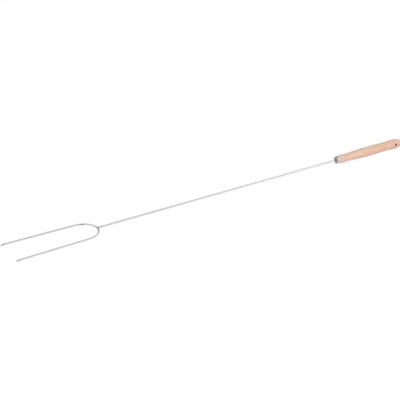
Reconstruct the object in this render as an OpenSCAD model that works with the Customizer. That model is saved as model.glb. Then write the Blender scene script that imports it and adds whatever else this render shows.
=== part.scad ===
// Two-prong roasting skewer: a bent wire fork, a long rod, and a turned wooden handle with a metal ferrule.
// Origin: middle of the hanging hole. +X runs along the rod to the butt of the handle, +Z is up,
// and the fork lies flat in the XY plane.

/* [Fork] */
// Thickness of the fork's wire
wire_d = 3.5; // [2.5:0.1:6]
// Radius of the bend, to the middle of the wire
bend_r = 35; // [20:1:60]
// Length of each straight prong, with its point
prong_l = 158; // [60:1:300]
// Angle by which each prong leans outwards
splay = 1.7; // [0.2:0.1:5]
// Length of the ground point on each prong
point_l = 7; // [3:0.5:20]
// Thickness of the very tip, which is rounded
tip_d = 0.9; // [0.4:0.1:1.6]

/* [Rod] */
// Thickness of the rod
rod_d = 3.5; // [2.5:0.1:6]
// Length of the rod that shows, from the middle of the bent wire to the ferrule
rod_l = 550; // [150:1:900]
// Length of the rod that is hidden in the handle
tang_l = 72; // [30:1:100]
// Chamfer on the hidden end of the rod
tang_chamfer = 0.6; // [0.2:0.1:1]

/* [Weld] */
// How far the weld stands proud of the rod
weld_h = 0.7; // [0.4:0.1:1.5]
// Length of the weld along the rod, from the surface of the wire
weld_l = 2.6; // [1.5:0.1:5]

/* [Ferrule] */
// Outer diameter of the ferrule
ferrule_d = 15; // [13:0.1:17]
// Length of the ferrule
ferrule_l = 8; // [6:0.5:30]
// Thickness of the ferrule's sheet metal
ferrule_wall = 0.6; // [0.4:0.1:1.2]
// Radius of the ferrule's rounded front edge
ferrule_round = 2; // [1.5:0.1:3]

/* [Handle] */
// Diameter of the wood where it meets the ferrule
shoulder_d = 15.3; // [15:0.1:20]
// Diameter of the bead behind the ferrule
bead_d = 17.3; // [16:0.1:24]
// Length of the bead
bead_l = 16.5; // [10:0.5:30]
// Diameter at the groove behind the bead
groove_d = 15.5; // [12:0.1:18]
// Length from the groove to the thickest part of the belly
belly_rise_l = 56.5; // [25:0.5:80]
// Diameter of the belly
belly_d = 19.8; // [18:0.1:26]
// Length from the belly's thickest part to the waist
belly_fall_l = 41; // [20:0.5:60]
// Diameter at the waist
waist_d = 18.2; // [15:0.1:22]
// Length from the waist to the thickest part of the knob
knob_rise_l = 18.5; // [10:0.5:30]
// Diameter of the knob
knob_d = 20.2; // [18:0.1:28]
// Length of the knob's rounded end
dome_l = 21.5; // [20:0.5:40]

/* [Hanging hole] */
// Diameter of the hanging hole
hang_d = 5; // [3:0.5:8]
// Distance from the middle of the hole to the butt of the handle
hang_in = 18; // [12:0.5:30]
// Angle by which the hole is turned round the handle, away from the plane of the fork
hang_turn = 10; // [0:1:90]

/* [Fits] */
// Gap round the rod in the handle, filled with glue on the real thing
tang_gap = 0.05; // [0.02:0.01:0.2]
// Gap between the wood and the inside of the ferrule
ferrule_gap = 0.05; // [0.02:0.01:0.2]
// Gap round the rod in the ferrule's front hole
collar_gap = 0.1; // [0.05:0.05:0.3]
// Room in the wood beyond the end of the rod
bore_room = 3; // [1:0.5:10]

/* [Hidden] */
$fn = 64;

wire_r = wire_d / 2;
rod_r = rod_d / 2;
tip_r = tip_d / 2;
hang_r = hang_d / 2;
// Angle by which each half of the bend runs past the middle, so that both halves are one wire
bend_lap = 2;
// Depth to which the rod's end is saddled over the round wire, measured from the wire's middle
saddle_x = 0.55 * wire_r;
// Height of the weld where it thins out on the rod
weld_edge_h = 0.15;

// Places along X, counted from the hanging hole
butt_x = hang_in;
knob_x = butt_x - dome_l;
waist_x = knob_x - knob_rise_l;
belly_x = waist_x - belly_fall_l;
groove_x = belly_x - belly_rise_l;
shoulder_x = groove_x - bead_l;
ferrule_x = shoulder_x - ferrule_l;
apex_x = ferrule_x - rod_l;
bend_x = apex_x - bend_r;

// The wooden spigot inside the ferrule
spigot_r = ferrule_d / 2 - ferrule_wall - ferrule_gap;
spigot_x = ferrule_x + ferrule_wall + ferrule_gap;
spigot_chamfer = ferrule_round - ferrule_wall;
bore_l = ferrule_x + tang_l + bore_room - spigot_x;

// Fullness of the butt: 2 is an ellipse, and more is blunter
dome_power = 2.4;
// Steps in which each stretch of the handle's outline is drawn
outline_steps = 14;

wire_colour = [0.74, 0.74, 0.75];
weld_colour = [0.66, 0.65, 0.64];
ferrule_colour = [0.70, 0.69, 0.69];
wood_colour = [0.91, 0.77, 0.67];

// Turns an outline round X: the outline's x is a radius, and its y runs along X
module turn_on_x() {
    rotate([0, 90, 0])
        rotate_extrude()
            children();
}

// The round of the bent wire, over the given angle, which starts on +X and turns towards -Y
module bend_arc(angle) {
    mirror([0, 1, 0])
        rotate_extrude(angle = angle)
            translate([bend_r, 0])
                circle(r = wire_r);
}

// One straight prong along X, with its ground, rounded point
module prong() {
    straight = [[0, 0], [wire_r, 0], [wire_r, prong_l - point_l]];
    tip = [for (a = [0 : 15 : 90]) [tip_r * cos(a), prong_l - tip_r + tip_r * sin(a)]];
    turn_on_x()
        polygon(concat(straight, tip));
}

// One prong and its half of the bend, drawn from the place where the wire starts to bend
module half_fork() {
    translate([bend_x, 0, 0])
        rotate([0, 0, 90 - splay])
            union() {
                bend_arc(90 - splay + bend_lap);
                translate([bend_r, 0, 0])
                    rotate([0, 0, 90])
                        prong();
            }
}

module fork() {
    color(wire_colour)
        union() {
            half_fork();
            rotate([180, 0, 0])
                half_fork();
        }
}

// The whole round of the bent wire, which the rod and the weld are cut to fit
module bend_ring() {
    translate([bend_x, 0, 0])
        bend_arc(360);
}

// The rod is saddled over the bent wire at one end and runs into the handle at the other
module rod() {
    start = apex_x + saddle_x;
    length = ferrule_x + tang_l - start;
    outline = [
        [0, 0],
        [rod_r, 0],
        [rod_r, length - tang_chamfer],
        [rod_r - tang_chamfer, length],
        [0, length]
    ];
    color(wire_colour)
        difference() {
            translate([start, 0, 0])
                turn_on_x()
                    polygon(outline);
            bend_ring();
        }
}

// A small ring of weld that fills the corner between the rod and the bent wire
module weld_bead() {
    length = wire_r - saddle_x + weld_l;
    swell = [
        for (i = [0 : outline_steps])
            let (t = i / outline_steps)
                [rod_r + weld_edge_h + (weld_h - weld_edge_h) * (1 + cos(180 * t)) / 2, length * t]
    ];
    color(weld_colour)
        difference() {
            translate([apex_x + saddle_x, 0, 0])
                turn_on_x()
                    polygon(concat([[rod_r, 0]], swell, [[rod_r, length]]));
            bend_ring();
        }
}

// A drawn metal cup with a rounded front edge and a hole for the rod
module ferrule() {
    outer_r = ferrule_d / 2;
    hole_r = rod_r + collar_gap;
    color(ferrule_colour)
        translate([ferrule_x, 0, 0])
            turn_on_x() {
                translate([outer_r - ferrule_wall, ferrule_round])
                    square([ferrule_wall, ferrule_l - ferrule_round]);
                translate([hole_r, 0])
                    square([outer_r - ferrule_round - hole_r, ferrule_wall]);
                translate([outer_r - ferrule_round, ferrule_round])
                    intersection() {
                        difference() {
                            circle(r = ferrule_round);
                            circle(r = ferrule_round - ferrule_wall);
                        }
                        translate([0, -ferrule_round])
                            square(ferrule_round);
                    }
            }
}

// One stretch of the handle's outline from x1 to x2, where rise(t) runs over t from 0 to 1
function stretch(x1, x2, r1, r2, share) =
    [for (i = [1 : outline_steps]) [r1 + (r2 - r1) * share[i], x1 + (x2 - x1) * i / outline_steps]];

steps = [for (i = [0 : outline_steps]) i / outline_steps];
// Quick at first, then easing to a crest
ease_out = [for (t = steps) sin(90 * t)];
// Slow at first, then quick down to a crease
ease_in = [for (t = steps) 1 - cos(90 * t)];
// Slow at both ends
ease_both = [for (t = steps) (1 - cos(180 * t)) / 2];

// The turned outline of the wood, from the spigot's front to the butt
function wood_outline() =
    let (
        bead_x = (shoulder_x + groove_x) / 2,
        spigot = [
            [0, spigot_x],
            [spigot_r - spigot_chamfer, spigot_x],
            [spigot_r, spigot_x + spigot_chamfer],
            [spigot_r, shoulder_x],
            [shoulder_d / 2, shoulder_x]
        ],
        dome = [
            for (i = [1 : outline_steps])
                let (u = sin(90 * i / outline_steps))
                    [knob_d / 2 * sqrt(max(0, 1 - pow(u, dome_power))), knob_x + dome_l * u]
        ]
    )
    concat(
        spigot,
        stretch(shoulder_x, bead_x, shoulder_d / 2, bead_d / 2, ease_out),
        stretch(bead_x, groove_x, bead_d / 2, groove_d / 2, ease_in),
        stretch(groove_x, belly_x, groove_d / 2, belly_d / 2, ease_out),
        stretch(belly_x, waist_x, belly_d / 2, waist_d / 2, ease_in),
        stretch(waist_x, knob_x, waist_d / 2, knob_d / 2, ease_both),
        dome
    );

module handle() {
    color(wood_colour)
        difference() {
            turn_on_x()
                polygon(wood_outline());
            translate([spigot_x, 0, 0])
                rotate([0, 90, 0])
                    translate([0, 0, -1])
                        cylinder(r = rod_r + tang_gap, h = bore_l + 1);
            rotate([90 - hang_turn, 0, 0])
                cylinder(r = hang_r, h = 2 * knob_d, center = true);
        }
}

fork();
rod();
weld_bead();
ferrule();
handle();
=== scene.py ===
# Two-prong roasting skewer: the looks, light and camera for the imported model.
# The frame is the part's own: the origin is the middle of the hanging hole, +X runs along the rod
# to the butt of the handle, +Z is up, and the fork lies flat in the XY plane. Lengths are metres.
import math

import bmesh
import bpy
from mathutils import Matrix, Vector, noise


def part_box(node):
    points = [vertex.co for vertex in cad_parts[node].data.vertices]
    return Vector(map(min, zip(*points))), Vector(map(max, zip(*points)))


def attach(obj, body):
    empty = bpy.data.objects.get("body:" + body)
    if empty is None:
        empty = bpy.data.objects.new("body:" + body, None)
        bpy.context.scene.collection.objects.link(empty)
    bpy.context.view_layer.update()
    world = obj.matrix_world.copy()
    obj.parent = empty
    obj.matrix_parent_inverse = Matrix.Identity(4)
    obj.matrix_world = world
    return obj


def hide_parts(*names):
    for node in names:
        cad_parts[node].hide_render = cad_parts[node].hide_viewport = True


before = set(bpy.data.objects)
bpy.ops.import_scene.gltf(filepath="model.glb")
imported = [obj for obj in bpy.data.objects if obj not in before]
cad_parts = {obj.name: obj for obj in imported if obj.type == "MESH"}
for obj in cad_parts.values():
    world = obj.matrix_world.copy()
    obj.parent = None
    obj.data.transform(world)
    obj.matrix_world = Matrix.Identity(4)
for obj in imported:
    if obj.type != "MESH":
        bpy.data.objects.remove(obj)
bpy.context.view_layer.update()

MM = 0.001
X_AXIS = Vector((1, 0, 0))
Z_AXIS = Vector((0, 0, 1))

# Sizes, with the same names and values as in the part's source
wire_r = 3.5 * MM / 2
bend_r = 35 * MM
prong_l = 158 * MM
splay = math.radians(1.7)
point_l = 7 * MM
tip_r = 0.9 * MM / 2
rod_r = 3.5 * MM / 2
tang_l = 72 * MM
tang_chamfer = 0.6 * MM
weld_h = 0.7 * MM
weld_l = 2.6 * MM
ferrule_r = 15 * MM / 2
ferrule_l = 8 * MM
ferrule_wall = 0.6 * MM
ferrule_round = 2 * MM
shoulder_r = 15.3 * MM / 2
bead_r = 17.3 * MM / 2
bead_l = 16.5 * MM
groove_r = 15.5 * MM / 2
belly_rise_l = 56.5 * MM
belly_r = 19.8 * MM / 2
belly_fall_l = 41 * MM
waist_r = 18.2 * MM / 2
knob_rise_l = 18.5 * MM
knob_r = 20.2 * MM / 2
dome_l = 21.5 * MM
# Fullness of the butt, as in the part's source
dome_power = 2.4
hang_r = 5 * MM / 2
hang_turn = math.radians(10)
tang_gap = 0.05 * MM
ferrule_gap = 0.05 * MM
collar_gap = 0.1 * MM
bore_room = 3 * MM
# Depth to which the rod is saddled over the bent wire
saddle_x = 0.55 * wire_r

# Places along X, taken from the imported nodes
butt_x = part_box("handle")[1].x
knob_x = butt_x - dome_l
waist_x = knob_x - knob_rise_l
belly_x = waist_x - belly_fall_l
groove_x = belly_x - belly_rise_l
shoulder_x = groove_x - bead_l
ferrule_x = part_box("ferrule")[0].x
apex_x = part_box("fork")[1].x - wire_r
bend_x = apex_x - bend_r
tip_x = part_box("fork")[0].x
hang_axis = Vector((0, -math.cos(hang_turn), math.sin(hang_turn)))


# Mesh making

def circle_ring(centre, across, up, radius, count):
    """Points of a circle round centre, in the plane of the unit vectors across and up."""
    turns = [2 * math.pi * i / count for i in range(count)]
    return [centre + radius * (math.cos(a) * across + math.sin(a) * up) for a in turns]


def lathe_ring(x, radius, count):
    """One ring round the X axis, or a single point where the radius is zero."""
    if radius == 0:
        return [Vector((x, 0, 0))]
    return circle_ring(Vector((x, 0, 0)), Vector((0, 1, 0)), Z_AXIS, radius, count)


def skin(name, rings, alongs, closed=False, sharp=35):
    """A solid through rings of points. Its lay attribute holds each point's place along and round
    the wire, which the metal's grain follows. Edges over the sharp angle stay crisp."""
    solid = bmesh.new()
    lay = solid.verts.layers.float_vector.new("lay")
    rows = []
    for ring, along in zip(rings, alongs):
        row = []
        for i, point in enumerate(ring):
            vertex = solid.verts.new(point)
            turn = 2 * math.pi * i / len(ring)
            vertex[lay] = (along, math.cos(turn), math.sin(turn))
            row.append(vertex)
        rows.append(row)
    following = rows[1:] + rows[:1] if closed else rows[1:]
    for near, far in zip(rows, following):
        count = max(len(near), len(far))
        for i in range(count):
            j = (i + 1) % count
            corners = [near[i % len(near)], near[j % len(near)], far[j % len(far)], far[i % len(far)]]
            solid.faces.new(list(dict.fromkeys(corners)))
    bmesh.ops.recalc_face_normals(solid, faces=solid.faces)
    mesh = bpy.data.meshes.new(name)
    solid.to_mesh(mesh)
    solid.free()
    piece = bpy.data.objects.new(name, mesh)
    bpy.context.scene.collection.objects.link(piece)
    finish_shading(mesh, sharp)
    return piece


def finish_shading(mesh, sharp):
    mesh.shade_smooth()
    mesh.set_sharp_from_angle(angle=math.radians(sharp))


def spread(start, end, count):
    """Evenly spaced values after start, up to and with end."""
    return [start + (end - start) * i / count for i in range(1, count + 1)]


def ring_x_on_bend(y, z):
    """The X of the bent wire's outer surface at the given Y and Z."""
    out = bend_r + math.sqrt(max(0, wire_r ** 2 - z ** 2))
    return bend_x + math.sqrt(out ** 2 - y ** 2)


# The fork: one wire swept from point to point

WIRE_SIDES = 40
BEND_STEPS = 120
PRONG_STEPS = 24
POINT_STEPS = 8
TIP_STEPS = 6
# Length and depth over which the edge behind the ground point is eased
POINT_EASE_L = 0.4 * MM
POINT_EASE_H = 0.012 * MM


def prong_stations():
    """Distance from the prong's joint with the bend, and radius there, out to the tip."""
    shoulder = prong_l - point_l
    stations = [(s, wire_r) for s in spread(0, shoulder - POINT_EASE_L, PRONG_STEPS)]
    stations.append((shoulder, wire_r - POINT_EASE_H))
    for s in spread(shoulder, prong_l - tip_r, POINT_STEPS):
        share = (s - shoulder) / (point_l - tip_r)
        stations.append((s, wire_r + (tip_r - wire_r) * share))
    for a in spread(0, math.pi / 2, TIP_STEPS)[:-1]:
        stations.append((prong_l - tip_r + tip_r * math.sin(a), tip_r * math.cos(a)))
    stations.append((prong_l, 0))
    return stations


def prong_rings(side, half_turn):
    """The rings of one straight prong, each with its distance from the bend."""
    joint_way = Vector((math.cos(half_turn), side * math.sin(half_turn), 0))
    joint = Vector((bend_x, 0, 0)) + bend_r * joint_way
    outward = Vector((-math.cos(splay), side * math.sin(splay), 0))
    forward = -side * outward
    arm = []
    for s, radius in prong_stations():
        place = joint + s * outward
        if radius == 0:
            ring = [place]
        else:
            ring = circle_ring(place, forward.cross(Z_AXIS), Z_AXIS, radius, WIRE_SIDES)
        arm.append((ring, s))
    return arm


def build_fork():
    half_turn = math.pi / 2 - splay
    bend_l = 2 * half_turn * bend_r
    centre = Vector((bend_x, 0, 0))
    bend = []
    for t in [0] + spread(0, 1, BEND_STEPS):
        a = half_turn - 2 * half_turn * t
        out = Vector((math.cos(a), math.sin(a), 0))
        tangent = Vector((math.sin(a), -math.cos(a), 0))
        ring = circle_ring(
            centre + bend_r * out, tangent.cross(Z_AXIS), Z_AXIS, wire_r, WIRE_SIDES)
        bend.append((ring, bend_l * t))
    left = [(ring, -s) for ring, s in reversed(prong_rings(1, half_turn))]
    right = [(ring, bend_l + s) for ring, s in prong_rings(-1, half_turn)]
    wire = left + bend + right
    return skin("fork_wire", [ring for ring, _ in wire], [along for _, along in wire])


# The rod: saddled over the bent wire, and chamfered on the end that is hidden in the handle

ROD_STEPS = 90
# Shares of the rod's radius at which the saddled end has a ring
SADDLE_SHARES = [0, 0.35, 0.7, 0.9, 1]
# The even rings start this far behind the middle of the bent wire, clear of the saddle
SADDLE_ROOM = 4 * MM


def build_rod():
    end_x = ferrule_x + tang_l
    straight_x = apex_x + SADDLE_ROOM
    rings = []
    alongs = []
    for share in SADDLE_SHARES:
        ring = lathe_ring(apex_x, rod_r * share, WIRE_SIDES)
        for point in ring:
            point.x = max(apex_x + saddle_x, ring_x_on_bend(point.y, point.z))
        rings.append(ring)
        alongs.append(0)
    for x in [straight_x] + spread(straight_x, end_x - tang_chamfer, ROD_STEPS):
        rings.append(lathe_ring(x, rod_r, WIRE_SIDES))
        alongs.append(x - apex_x)
    for radius in (rod_r - tang_chamfer, 0):
        rings.append(lathe_ring(end_x, radius, WIRE_SIDES))
        alongs.append(end_x - apex_x)
    return skin("rod_wire", rings, alongs)


# The weld: a rippled ring that fills the corner between the rod and the bent wire

WELD_SIDES = 96
WELD_STEPS = 22
# How far the root spreads from the rod, and how high it climbs on the bent wire
WELD_SPREAD = 0.62 * MM
WELD_CLIMB = 1.66 * MM
# Heights of the crown, of the ripples across it and of its unevenness
WELD_CROWN = 0.42 * MM
WELD_RIPPLE = 0.035 * MM
WELD_WOBBLE = 0.10 * MM
# The toe on the rod: its distance from the end of the CAD ring, and how deep it dips into the rod
WELD_TOE_BACK = 0.25 * MM
WELD_TOE_DIP = 0.1 * MM
# The hidden inner side: its radius inside the rod, and its distance from the toe
WELD_BURIED_R = 1.3 * MM
WELD_BURIED_L = 1.0 * MM


def build_weld():
    toe_x = apex_x + wire_r + weld_l
    columns = []
    for i in range(WELD_SIDES):
        turn = 2 * math.pi * i / WELD_SIDES
        side, rise = math.cos(turn), math.sin(turn)
        flank = abs(rise)
        wobble = WELD_WOBBLE * noise.noise(Vector((2 * side, 2 * rise, 4.0)))
        root_r = min(rod_r + WELD_SPREAD, WELD_CLIMB / max(flank, 0.01))
        root_x = ring_x_on_bend(root_r * side, root_r * rise)
        crown = WELD_CROWN * flank ** 2
        end_x = toe_x - WELD_TOE_BACK + 3 * wobble
        column = []
        for step in range(WELD_STEPS + 1):
            t = step / WELD_STEPS
            ripple = WELD_RIPPLE * math.sin(7 * math.pi * t + 2.2 * side + 1.1 * rise)
            swell = (crown + ripple + wobble) * math.sin(math.pi * t)
            radius = root_r + (rod_r - root_r) * t ** 0.8 + swell
            radius = min(radius, rod_r + weld_h)
            column.append((root_x + (end_x - root_x) * t, radius))
        column.append((end_x, rod_r - WELD_TOE_DIP))
        column.append((end_x - WELD_BURIED_L, WELD_BURIED_R))
        inner_x = ring_x_on_bend(WELD_BURIED_R * side, WELD_BURIED_R * rise)
        column.append((inner_x, WELD_BURIED_R))
        columns.append([Vector((x, r * side, r * rise)) for x, r in column])
    rings = [[column[k] for column in columns] for k in range(len(columns[0]))]
    return skin("weld_ring", rings, [0] * len(rings), closed=True, sharp=60)


# The ferrule: a drawn cup with a rounded front edge, a pierced front and a smoothed back rim

FERRULE_SIDES = 96
FERRULE_ROUND_STEPS = 20
FERRULE_INNER_STEPS = 10
# Size of the break on the thin edges, and the share of it that the pierced lip is set back
FERRULE_BREAK = 0.12 * MM
FERRULE_BREAK_STEPS = 4
FERRULE_LIP_SHARE = 0.4


def build_ferrule():
    hole_r = rod_r + collar_gap
    soft = FERRULE_BREAK
    inner_r = ferrule_r - ferrule_wall
    corner_r = ferrule_r - ferrule_round
    corner_x = ferrule_x + ferrule_round
    back_x = ferrule_x + ferrule_l
    outline = []
    for a in spread(-math.pi / 2, 0, FERRULE_BREAK_STEPS):
        lip_x = ferrule_x + soft * (1 - math.cos(a)) * FERRULE_LIP_SHARE
        outline.append((lip_x, hole_r + soft * (1 + math.sin(a))))
    outline.append((ferrule_x, corner_r))
    for a in spread(0, math.pi / 2, FERRULE_ROUND_STEPS):
        x = corner_x - ferrule_round * math.cos(a)
        outline.append((x, corner_r + ferrule_round * math.sin(a)))
    outline.append((back_x - soft, ferrule_r))
    for a in spread(0, math.pi / 2, FERRULE_BREAK_STEPS):
        x = back_x - soft * (1 - math.sin(a))
        outline.append((x, ferrule_r - soft * (1 - math.cos(a))))
    outline.append((back_x, inner_r))
    outline.append((corner_x, inner_r))
    round_in = ferrule_round - ferrule_wall
    for a in spread(math.pi / 2, 0, FERRULE_INNER_STEPS):
        outline.append((corner_x - round_in * math.cos(a), corner_r + round_in * math.sin(a)))
    outline.append((ferrule_x + ferrule_wall, hole_r))
    rings = [lathe_ring(x, radius, FERRULE_SIDES) for x, radius in outline]
    alongs = [x - ferrule_x for x, _ in outline]
    return skin("ferrule_cup", rings, alongs, closed=True)


# The handle: turned wood with a bead, a groove, a long belly, a waist and a rounded knob

WOOD_SIDES = 128
DOME_STEPS = 36
HOLE_SIDES = 48
# The hole widens by a round mouth that starts this far from the axis, at both ends
MOUTH_START = 9.6 * MM
MOUTH_L = 0.55 * MM
MOUTH_H = 0.3 * MM
MOUTH_STEPS = 6
# The cutter's ends lie outside the wood: their distance from the axis, and their extra radius
CUTTER_REACH = 13 * MM
CUTTER_FLARE = 2.2 * MM
# Edges of the wood over this angle stay crisp after the hole is cut
WOOD_SHARP = 32


def ease_out(t):
    """Quick at first, then easing to a crest."""
    return math.sin(math.pi / 2 * t)


def ease_in(t):
    """Slow at first, then quick down to a crease."""
    return 1 - math.cos(math.pi / 2 * t)


def ease_both(t):
    """Slow at both ends."""
    return (1 - math.cos(math.pi * t)) / 2


def wood_outline():
    """The X and radius of the turned wood, from its shoulder behind the ferrule to the butt."""
    bead_x = (shoulder_x + groove_x) / 2
    stretches = [
        (shoulder_x, bead_x, shoulder_r, bead_r, ease_out, 20),
        (bead_x, groove_x, bead_r, groove_r, ease_in, 20),
        (groove_x, belly_x, groove_r, belly_r, ease_out, 50),
        (belly_x, waist_x, belly_r, waist_r, ease_in, 40),
        (waist_x, knob_x, waist_r, knob_r, ease_both, 20),
    ]
    outline = [(shoulder_x, shoulder_r)]
    for x1, x2, r1, r2, ease, steps in stretches:
        for t in spread(0, 1, steps):
            outline.append((x1 + (x2 - x1) * t, r1 + (r2 - r1) * ease(t)))
    for a in spread(0, math.pi / 2, DOME_STEPS):
        u = math.sin(a)
        outline.append((knob_x + dome_l * u, knob_r * math.sqrt(max(0, 1 - u ** dome_power))))
    outline[-1] = (butt_x, 0)
    return outline


def hole_cutter():
    """A round bar along the hanging hole that widens a little at the wood's surface."""
    stations = [(0, hang_r), (MOUTH_START, hang_r)]
    for t in spread(0, 1, MOUTH_STEPS):
        stations.append((MOUTH_START + MOUTH_L * t, hang_r + MOUTH_H * t ** 2))
    stations.append((CUTTER_REACH, hang_r + CUTTER_FLARE))
    rows = [(-s, r) for s, r in reversed(stations[1:])] + stations
    up = X_AXIS.cross(hang_axis)
    rings = [circle_ring(s * hang_axis, X_AXIS, up, r, HOLE_SIDES) for s, r in rows]
    rings = [[rows[0][0] * hang_axis]] + rings + [[rows[-1][0] * hang_axis]]
    return skin("hole_cutter", rings, [0] * len(rings))


def cut(piece, cutter, sharp):
    """Takes the cutter out of the piece, applies the result and removes the cutter."""
    modifier = piece.modifiers.new("cut", "BOOLEAN")
    modifier.operation = "DIFFERENCE"
    modifier.solver = "EXACT"
    modifier.object = cutter
    graph = bpy.context.evaluated_depsgraph_get()
    mesh = bpy.data.meshes.new_from_object(piece.evaluated_get(graph))
    piece.modifiers.clear()
    before = piece.data
    piece.data = mesh
    bpy.data.meshes.remove(before)
    bpy.data.objects.remove(cutter)
    mesh.name = piece.name
    finish_shading(mesh, sharp)


def build_handle():
    bore_r = rod_r + tang_gap
    bore_end_x = ferrule_x + tang_l + bore_room
    spigot_r = ferrule_r - ferrule_wall - ferrule_gap
    spigot_x = ferrule_x + ferrule_wall + ferrule_gap
    chamfer = ferrule_round - ferrule_wall
    hidden = [
        (bore_end_x, 0),
        (bore_end_x, bore_r),
        (spigot_x, bore_r),
        (spigot_x, spigot_r - chamfer),
        (spigot_x + chamfer, spigot_r),
        (shoulder_x, spigot_r),
    ]
    outline = hidden + wood_outline()
    rings = [lathe_ring(x, radius, WOOD_SIDES) for x, radius in outline]
    handle = skin("wood_handle", rings, [x - ferrule_x for x, _ in outline])
    cut(handle, hole_cutter(), WOOD_SHARP)
    return handle


# Material making

def feed(tree, socket, value):
    """Links another node's output to the socket, or sets the socket to a constant."""
    if isinstance(value, bpy.types.NodeSocket):
        tree.links.new(value, socket)
    else:
        socket.default_value = value


class Shader:
    """A material with a Principled shader, and short calls that add and link nodes."""

    def __init__(self, name):
        self.material = bpy.data.materials.new(name)
        self.material.use_nodes = True
        self.tree = self.material.node_tree
        self.tree.nodes.clear()
        output = self.tree.nodes.new("ShaderNodeOutputMaterial")
        self.surface = self.tree.nodes.new("ShaderNodeBsdfPrincipled")
        self.tree.links.new(self.surface.outputs["BSDF"], output.inputs["Surface"])

    def node(self, kind, inputs=None, **settings):
        made = self.tree.nodes.new(kind)
        for key, value in settings.items():
            setattr(made, key, value)
        for key, value in (inputs or {}).items():
            feed(self.tree, made.inputs[key], value)
        return made

    def place(self):
        """The place in the object, which is also the place in the part's frame."""
        return self.node("ShaderNodeTexCoord").outputs["Object"]

    def lay(self):
        """The place along and round the wire, from the mesh's lay attribute."""
        return self.node("ShaderNodeAttribute", attribute_name="lay").outputs["Vector"]

    def scaled(self, vector, scale):
        return self.node(
            "ShaderNodeVectorMath", {0: vector, 1: scale}, operation="MULTIPLY").outputs[0]

    def moved(self, vector, offset):
        return self.node(
            "ShaderNodeVectorMath", {0: vector, 1: offset}, operation="ADD").outputs[0]

    def math(self, operation, first, second=0.0):
        return self.node("ShaderNodeMath", {0: first, 1: second}, operation=operation).outputs[0]

    def noise(self, vector, scale=1.0, detail=3.0, roughness=0.55):
        inputs = {"Vector": vector, "Scale": scale, "Detail": detail, "Roughness": roughness}
        return self.node("ShaderNodeTexNoise", inputs).outputs["Fac"]

    def ramp(self, value, low, high, out_low=0.0, out_high=1.0):
        """Eases from out_low to out_high while the value goes from low to high."""
        inputs = {0: value, 1: low, 2: high, 3: out_low, 4: out_high}
        return self.node(
            "ShaderNodeMapRange", inputs, interpolation_type="SMOOTHSTEP").outputs[0]

    def blend(self, share, first, second):
        """The first colour where the share is 0, and the second where it is 1."""
        inputs = {0: share, 6: first, 7: second}
        return self.node("ShaderNodeMix", inputs, data_type="RGBA").outputs[2]

    def split(self, vector):
        return self.node("ShaderNodeSeparateXYZ", {0: vector}).outputs

    def bump(self, height, distance, strength=1.0, normal=None):
        inputs = {"Height": height, "Distance": distance, "Strength": strength}
        if normal is not None:
            inputs["Normal"] = normal
        return self.node("ShaderNodeBump", inputs).outputs["Normal"]

    def dress(self, **values):
        for key, value in values.items():
            feed(self.tree, self.surface.inputs[key.replace("_", " ")], value)
        return self.material


PLATE_BRIGHT = (0.77, 0.77, 0.76, 1)
PLATE_DULL = (0.71, 0.71, 0.70, 1)
PLATE_LINES = (0.63, 0.63, 0.63, 1)
PLATE_SPECKS = (0.36, 0.33, 0.30, 1)
GROUND_BRIGHT = (0.50, 0.50, 0.50, 1)
GROUND_DARK = (0.38, 0.38, 0.39, 1)


def plated_wire():
    """Nickel-plated drawn wire: fine lengthwise lines, duller patches, and ground points."""
    m = Shader("plated_wire")
    place = m.place()
    lay = m.lay()
    lines = m.noise(m.scaled(lay, (55, 26, 26)), detail=4)
    hairs = m.noise(m.scaled(lay, (160, 70, 70)), detail=2)
    dull = m.noise(m.scaled(place, (70, 260, 260)), detail=4)
    specks = m.ramp(m.noise(m.scaled(place, (900, 900, 900)), detail=2), 0.70, 0.78)
    x = m.split(place)[0]
    ground = m.ramp(x, tip_x + point_l + 0.3 * MM, tip_x + point_l - 0.3 * MM)
    grinding = m.noise(m.scaled(lay, (5200, 1.5, 1.5)), detail=3)
    plate = m.blend(m.ramp(dull, 0.35, 0.7), PLATE_BRIGHT, PLATE_DULL)
    plate = m.blend(m.ramp(lines, 0.45, 0.75, 0, 0.5), plate, PLATE_LINES)
    plate = m.blend(m.math("MULTIPLY", specks, 0.6), plate, PLATE_SPECKS)
    steel = m.blend(m.ramp(grinding, 0.35, 0.7), GROUND_BRIGHT, GROUND_DARK)
    colour = m.blend(ground, plate, steel)
    worn = m.math("ADD", m.math("MULTIPLY", dull, 0.6), m.math("MULTIPLY", hairs, 0.4))
    rough = m.ramp(worn, 0.3, 0.7, 0.13, 0.27)
    rough = m.math("ADD", rough, m.math("MULTIPLY", ground, 0.16))
    relief = m.math("ADD", m.math("MULTIPLY", lines, 0.6), m.math("MULTIPLY", hairs, 0.4))
    normal = m.bump(relief, 0.012 * MM, 0.8)
    rings = m.math("MULTIPLY", grinding, ground)
    normal = m.bump(rings, 0.03 * MM, 0.8, normal)
    return m.dress(Base_Color=colour, Metallic=1.0, Roughness=rough, Normal=normal)


WELD_BRIGHT = (0.62, 0.61, 0.59, 1)
WELD_DARK = (0.44, 0.43, 0.41, 1)
WELD_TAN = (0.46, 0.37, 0.27, 1)
WELD_PITS = (0.2, 0.19, 0.18, 1)


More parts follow.
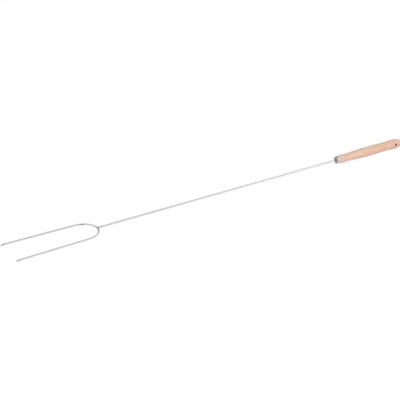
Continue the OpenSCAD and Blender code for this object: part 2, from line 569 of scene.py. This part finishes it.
def weld_metal():
    """Weld under the plating: rougher than the wire, pitted, with a tanned edge."""
    m = Shader("weld_metal")
    place = m.place()
    grain = m.noise(m.scaled(place, (1500, 1500, 1500)), detail=4)
    pits = m.ramp(m.noise(m.scaled(place, (3200, 3200, 3200)), detail=2), 0.62, 0.72)
    x = m.split(place)[0]
    tan = m.ramp(x, apex_x + wire_r + 1.2 * MM, apex_x + wire_r + 2.6 * MM, 0, 0.35)
    colour = m.blend(m.ramp(grain, 0.35, 0.7), WELD_BRIGHT, WELD_DARK)
    colour = m.blend(tan, colour, WELD_TAN)
    colour = m.blend(m.math("MULTIPLY", pits, 0.7), colour, WELD_PITS)
    rough = m.ramp(grain, 0.3, 0.7, 0.24, 0.46)
    height = m.math("SUBTRACT", grain, m.math("MULTIPLY", pits, 0.6))
    normal = m.bump(height, 0.06 * MM, 0.8)
    return m.dress(Base_Color=colour, Metallic=1.0, Roughness=rough, Normal=normal)


FERRULE_BRIGHT = (0.62, 0.61, 0.60, 1)
FERRULE_DULL = (0.52, 0.51, 0.50, 1)
FERRULE_SCUFFS = (0.42, 0.40, 0.38, 1)
# Painted reflection: the front of the cup is coloured dark in place of the dark surroundings it
# mirrors
FERRULE_PAINTED_DARK_FRONT = (0.32, 0.32, 0.32, 1)


def ferrule_metal():
    """Plated sheet drawn into a cup: lines round it, a rougher front painted dark as a shaded
    reflection, and a few dents.
    """
    m = Shader("ferrule_metal")
    place = m.place()
    x = m.split(place)[0]
    drawn = m.noise(m.scaled(place, (2600, 40, 40)), detail=4)
    dull = m.noise(m.scaled(place, (190, 190, 190)), detail=4)
    scuffs = m.ramp(m.noise(m.scaled(place, (1400, 500, 500)), detail=3), 0.62, 0.72)
    # Mask of the painted reflection: the front of the cup is painted dark here, and is also made
    # rougher
    painted_dark_front = m.ramp(x, ferrule_x + 1.7 * MM, ferrule_x + 0.5 * MM)
    plate = m.blend(m.ramp(dull, 0.35, 0.7), FERRULE_BRIGHT, FERRULE_DULL)
    plate = m.blend(m.math("MULTIPLY", scuffs, 0.4), plate, FERRULE_SCUFFS)
    colour = m.blend(painted_dark_front, plate, FERRULE_PAINTED_DARK_FRONT)
    rough = m.ramp(drawn, 0.3, 0.7, 0.16, 0.30)
    rough = m.math("ADD", rough, m.math("MULTIPLY", painted_dark_front, 0.22))
    normal = m.bump(drawn, 0.01 * MM, 0.7)
    normal = m.bump(dull, 0.12 * MM, 0.6, normal)
    return m.dress(Base_Color=colour, Metallic=1.0, Roughness=rough, Normal=normal)


WOOD_PINK = (0.82, 0.50, 0.39, 1)
WOOD_STRAW = (0.82, 0.60, 0.43, 1)
WOOD_PALE = (0.88, 0.66, 0.56, 1)
WOOD_GROWTH = (0.68, 0.40, 0.28, 1)
WOOD_FIBRES = (0.66, 0.42, 0.31, 1)
WOOD_PORES = (0.46, 0.25, 0.16, 1)
WOOD_FLECKS = (0.52, 0.28, 0.18, 1)
# Painted shade in the groove behind the bead
WOOD_GROOVE_SHADE = (0.42, 0.26, 0.18, 1)
WOOD_END = (0.62, 0.38, 0.27, 1)
# Painted shade inside the hanging hole and round its mouth
WOOD_HOLE_SHADE = (0.36, 0.20, 0.13, 1)
# The growth rings' middle lies outside the handle. This, added to a place, measures from it
HEART = (0, 0.031, 0.018)
GROWTH_PITCH = 2.6 * MM


def beech_wood():
    """Bare beech: grain along the handle, faint growth rings, ray flecks, pink and straw patches,
    darker end grain at the butt, and painted shade in the groove and the hanging hole.
    """
    m = Shader("beech_wood")
    place = m.place()
    x = m.split(place)[0]
    bent = m.noise(m.scaled(place, (9, 60, 60)), detail=2)
    bend = m.math("MULTIPLY", m.math("SUBTRACT", bent, 0.5), 0.010)
    heart = m.moved(place, HEART)
    parts = m.split(heart)
    across = m.math("SQRT", m.math("ADD", m.math("POWER", parts[1], 2.0),
                                   m.math("POWER", parts[2], 2.0)))
    turns = m.math("MULTIPLY", m.math("ADD", across, bend), 2 * math.pi / GROWTH_PITCH)
    growth = m.ramp(m.math("SINE", turns), 0.1, 1.0)
    fibres = m.noise(m.scaled(place, (55, 2600, 2600)), detail=4, roughness=0.6)
    pores = m.ramp(m.noise(m.scaled(place, (420, 5200, 5200)), detail=2), 0.64, 0.72)
    flecks = m.ramp(m.noise(m.scaled(place, (300, 1500, 2600)), detail=1), 0.66, 0.72)
    patch = m.noise(m.scaled(place, (42, 95, 95)), detail=3)
    cloud = m.noise(m.scaled(m.moved(place, (0.3, 0.2, 0.1)), (24, 70, 70)), detail=2)

    colour = m.blend(m.ramp(patch, 0.38, 0.62), WOOD_PINK, WOOD_STRAW)
    colour = m.blend(m.ramp(cloud, 0.45, 0.7, 0, 0.45), colour, WOOD_PALE)
    colour = m.blend(m.math("MULTIPLY", growth, 0.28), colour, WOOD_GROWTH)
    colour = m.blend(m.ramp(fibres, 0.35, 0.75, 0, 0.35), colour, WOOD_FIBRES)
    colour = m.blend(m.math("MULTIPLY", pores, 0.45), colour, WOOD_PORES)
    colour = m.blend(m.math("MULTIPLY", flecks, 0.55), colour, WOOD_FLECKS)

    # Painted shade: the wood is darkened in the groove, where shade falls
    groove_shade = m.ramp(m.math("ABSOLUTE", m.math("SUBTRACT", x, groove_x)), 1.1 * MM, 0.1 * MM)
    end_grain = m.ramp(x, butt_x - 7 * MM, butt_x)
    # Painted shade: the wood is darkened inside the hanging hole and at its rim, where shade falls
    along_hole = m.node("ShaderNodeVectorMath", {0: place, 1: hang_axis}, operation="DOT_PRODUCT")
    spread_out = m.node("ShaderNodeVectorMath", {0: place}, operation="LENGTH").outputs["Value"]
    from_hole = m.math("SQRT", m.math("SUBTRACT", m.math("POWER", spread_out, 2.0),
                                      m.math("POWER", along_hole.outputs["Value"], 2.0)))
    hole_shade = m.ramp(from_hole, hang_r + 0.7 * MM, hang_r - 0.1 * MM)
    # Painted shade in the groove and in the hanging hole; darker end grain at the butt
    colour = m.blend(m.math("MULTIPLY", groove_shade, 0.30), colour, WOOD_GROOVE_SHADE)
    colour = m.blend(m.math("MULTIPLY", end_grain, 0.40), colour, WOOD_END)
    colour = m.blend(m.math("MULTIPLY", hole_shade, 0.60), colour, WOOD_HOLE_SHADE)

    rough = m.ramp(fibres, 0.3, 0.75, 0.48, 0.66)
    rough = m.math("ADD", rough, m.math("MULTIPLY", end_grain, 0.12))
    lathe_marks = m.noise(m.scaled(place, (2400, 30, 30)), detail=2)
    height = m.math("SUBTRACT", m.math("MULTIPLY", fibres, 0.5), m.math("MULTIPLY", pores, 0.8))
    height = m.math("ADD", height, m.math("MULTIPLY", lathe_marks, 0.25))
    normal = m.bump(height, 0.05 * MM, 0.9)
    return m.dress(
        Base_Color=colour, Metallic=0.0, Roughness=rough, Specular_IOR_Level=0.35, Normal=normal)


# The pieces, each on the body and in the place of its node

wire = plated_wire()
pieces = [
    (build_fork, wire, "fork", "fork_wire"),
    (build_rod, wire, "rod", "rod_wire"),
    (build_weld, weld_metal(), "weld_bead", "weld_metal"),
    (build_ferrule, ferrule_metal(), "ferrule", "ferrule_metal"),
    (build_handle, beech_wood(), "handle", "handle_wood"),
]
for build, material, node, slot in pieces:
    piece = build()
    piece.data.materials.append(material)
    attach(piece, "root")
    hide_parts(node)


# Shader steps that the floor and the world share

WHITE = (1, 1, 1, 1)


def calculate(tree, operation, first, second=0.0):
    made = tree.nodes.new("ShaderNodeMath")
    made.operation = operation
    feed(tree, made.inputs[0], first)
    feed(tree, made.inputs[1], second)
    return made.outputs[0]


def choose(tree, share, first, second):
    """The first shader where the share is 0, and the second where it is 1."""
    made = tree.nodes.new("ShaderNodeMixShader")
    tree.links.new(share, made.inputs[0])
    tree.links.new(first, made.inputs[1])
    tree.links.new(second, made.inputs[2])
    return made.outputs[0]


def seen_directly(tree):
    """1 for the rays that see the background: camera, glossy and transmission rays."""
    path = tree.nodes.new("ShaderNodeLightPath").outputs
    direct = calculate(tree, "MAXIMUM", path["Is Camera Ray"], path["Is Glossy Ray"])
    return calculate(tree, "MAXIMUM", direct, path["Is Transmission Ray"])


# Floor: touches the belly of the handle and the prongs just behind their points

FLOOR_SIZE = 9.0
# Room under the lowest place, so that nothing lies in the floor
FLOOR_ROOM = 0.02 * MM
# Grey of the floor's shadows, its own white where it is seen, and the grey that lights the part
FLOOR_SHADOW = 0.14
FLOOR_WHITE = 0.88
FLOOR_BOUNCE = 0.80


def diffuse(tree, level):
    made = tree.nodes.new("ShaderNodeBsdfDiffuse")
    made.inputs["Color"].default_value = (level, level, level, 1)
    return made.outputs[0]


def floor_white():
    material = bpy.data.materials.new("floor_white")
    material.use_nodes = True
    tree = material.node_tree
    tree.nodes.clear()
    white = tree.nodes.new("ShaderNodeEmission")
    white.inputs["Strength"].default_value = FLOOR_WHITE
    seen = tree.nodes.new("ShaderNodeAddShader")
    tree.links.new(diffuse(tree, FLOOR_SHADOW), seen.inputs[0])
    tree.links.new(white.outputs[0], seen.inputs[1])
    shown = choose(tree, seen_directly(tree), diffuse(tree, FLOOR_BOUNCE), seen.outputs[0])
    output = tree.nodes.new("ShaderNodeOutputMaterial")
    tree.links.new(shown, output.inputs["Surface"])
    return material


def add_floor():
    rest_x = tip_x + point_l
    lean = (belly_r - wire_r) / (belly_x - rest_x)
    lowest = max(r - lean * (x - rest_x) for x, r in wood_outline())
    drop = max(lowest, wire_r) + FLOOR_ROOM
    half = FLOOR_SIZE / 2
    middle_x = (tip_x + butt_x) / 2
    corners = []
    for i, j in ((-1, -1), (1, -1), (1, 1), (-1, 1)):
        x = middle_x + i * half
        corners.append((x, j * half, -drop - lean * (x - rest_x)))
    mesh = bpy.data.meshes.new("floor")
    mesh.from_pydata(corners, [], [(0, 1, 2, 3)])
    mesh.materials.append(floor_white())
    floor = bpy.data.objects.new("floor", mesh)
    bpy.context.scene.collection.objects.link(floor)


# World: even studio light, and for the metal to mirror a white surround with darker gaps and patches

WORLD_LIGHT = 0.55
# Gaps between the light panels: axis, place along the axis, half width and depth
DARK_GAPS = [
    ((0.883, -0.469, 0.0), -0.10, 0.33, 0.85),
    ((1.0, 0.0, 0.0), 0.30, 0.13, 0.25),
    ((1.0, 0.0, 0.0), 0.382, 0.055, 0.35),
    ((1.0, 0.0, 0.0), 0.235, 0.040, 0.30),
]
# Softer patches: direction, inner angle, outer angle and depth, where a negative depth is brighter
SOFT_PATCHES = [
    ((0.10, 0.93, 0.35), 15, 50, 0.60),
    ((0.47, -0.62, 0.63), 4, 15, -0.90),
]


def along(tree, direction, axis):
    """How far the direction goes along the axis, from -1 to 1."""
    facing = tree.nodes.new("ShaderNodeVectorMath")
    facing.operation = "DOT_PRODUCT"
    tree.links.new(direction, facing.inputs[0])
    facing.inputs[1].default_value = Vector(axis).normalized()
    return facing.outputs["Value"]


def fade(tree, value, edge, middle, depth):
    """1 at the edge value, easing to 1 - depth at the middle value."""
    made = tree.nodes.new("ShaderNodeMapRange")
    made.interpolation_type = "SMOOTHSTEP"
    for socket, setting in zip(made.inputs, (value, edge, middle, 1.0, 1.0 - depth)):
        feed(tree, socket, setting)
    return made.outputs[0]


def mirrored_level(tree):
    """How bright the surround looks in metal, by direction."""
    direction = tree.nodes.new("ShaderNodeTexCoord").outputs["Generated"]
    shares = []
    for axis, place, half, depth in DARK_GAPS:
        off = calculate(tree, "SUBTRACT", along(tree, direction, axis), place)
        shares.append(fade(tree, calculate(tree, "ABSOLUTE", off), half, 0.0, depth))
    for aim, inner, outer, depth in SOFT_PATCHES:
        edge = math.cos(math.radians(outer))
        middle = math.cos(math.radians(inner))
        shares.append(fade(tree, along(tree, direction, aim), edge, middle, depth))
    level = shares[0]
    for share in shares[1:]:
        level = calculate(tree, "MULTIPLY", level, share)
    return level


def background(tree, strength):
    made = tree.nodes.new("ShaderNodeBackground")
    made.inputs["Color"].default_value = WHITE
    feed(tree, made.inputs["Strength"], strength)
    return made.outputs[0]


def add_world():
    world = bpy.data.worlds.new("studio")
    bpy.context.scene.world = world
    world.use_nodes = True
    tree = world.node_tree
    tree.nodes.clear()
    light = background(tree, WORLD_LIGHT)
    mirrored = background(tree, mirrored_level(tree))
    lighting = choose(tree, seen_directly(tree), light, mirrored)
    path = tree.nodes.new("ShaderNodeLightPath")
    shown = choose(tree, path.outputs["Is Camera Ray"], lighting, background(tree, 1.0))
    output = tree.nodes.new("ShaderNodeOutputWorld")
    tree.links.new(shown, output.inputs["Surface"])


# Key light: broad and soft, from above the camera

KEY_LEVEL = 0.50
KEY_FROM = Vector((-0.36, -0.72, 0.60))
KEY_ANGLE = math.radians(50)


def add_key():
    key = bpy.data.lights.new("key", "SUN")
    key.energy = KEY_LEVEL * math.pi
    key.angle = KEY_ANGLE
    lamp = bpy.data.objects.new("key", key)
    lamp.rotation_euler = KEY_FROM.to_track_quat("Z", "Y").to_euler()
    lamp.visible_glossy = False
    bpy.context.scene.collection.objects.link(lamp)


# Camera: the photograph's angle

CAMERA_AZIMUTH = math.radians(-26.093)
CAMERA_ELEVATION = math.radians(26.037)
CAMERA_ROLL = math.radians(-3.721)
CAMERA_AIM = Vector((-464.533, -1.099, -2.021)) * MM
CAMERA_DISTANCE = 4048.823 * MM
# Lens and sensor width in millimetres, which make a focal length of 2000 pixels of the photograph
CAMERA_LENS = 180
CAMERA_SENSOR = 36


def add_camera():
    data = bpy.data.cameras.new("camera")
    data.sensor_width = CAMERA_SENSOR
    data.lens = CAMERA_LENS
    data.clip_start = 0.1
    data.clip_end = 100
    camera = bpy.data.objects.new("camera", data)
    level = math.cos(CAMERA_ELEVATION)
    back = Vector((
        math.sin(CAMERA_AZIMUTH) * level,
        -math.cos(CAMERA_AZIMUTH) * level,
        math.sin(CAMERA_ELEVATION),
    ))
    flat_right = Vector((math.cos(CAMERA_AZIMUTH), math.sin(CAMERA_AZIMUTH), 0))
    flat_up = back.cross(flat_right)
    right = math.cos(CAMERA_ROLL) * flat_right + math.sin(CAMERA_ROLL) * flat_up
    up = back.cross(right)
    turn = Matrix((right, up, back)).transposed().to_4x4()
    camera.matrix_world = Matrix.Translation(CAMERA_AIM + CAMERA_DISTANCE * back) @ turn
    bpy.context.scene.collection.objects.link(camera)
    bpy.context.scene.camera = camera


add_floor()
add_world()
add_key()
add_camera()
bpy.context.scene.view_settings.view_transform = "Standard"
